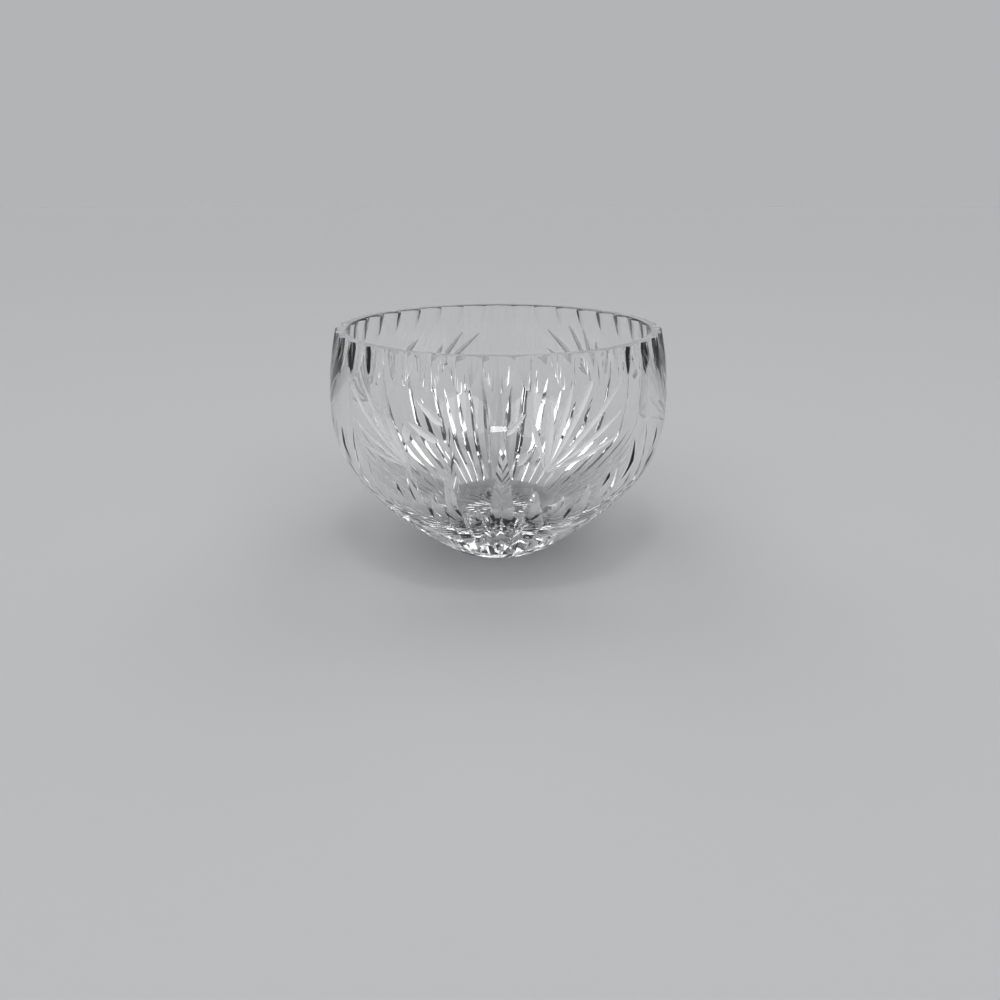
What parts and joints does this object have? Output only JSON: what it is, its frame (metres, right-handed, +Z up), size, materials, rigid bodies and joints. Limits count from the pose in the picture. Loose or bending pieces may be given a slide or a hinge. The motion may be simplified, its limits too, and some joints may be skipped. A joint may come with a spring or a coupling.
{
  "type": "cut crystal bowl",
  "caption": "Round footless bowl of thick clear crystal with a fluted rim, matt fans, tall polished cuts up from the base and a star cut underneath.",
  "frame": {"origin": "middle of the flat foot, on the surface that the bowl stands on", "axes": "+Z up along the bowl's axis, -Y towards the side that the picture shows"},
  "size_m": [0.15, 0.15, 0.1],
  "materials": {
    "lead_crystal": "clear lead crystal, wheel cut and polished to a bright gloss; fans, leaves and drops left finely ground"
  },
  "bodies": {
    "root": {"crystal_bowl": "lead_crystal"}
  },
  "joints": []
}
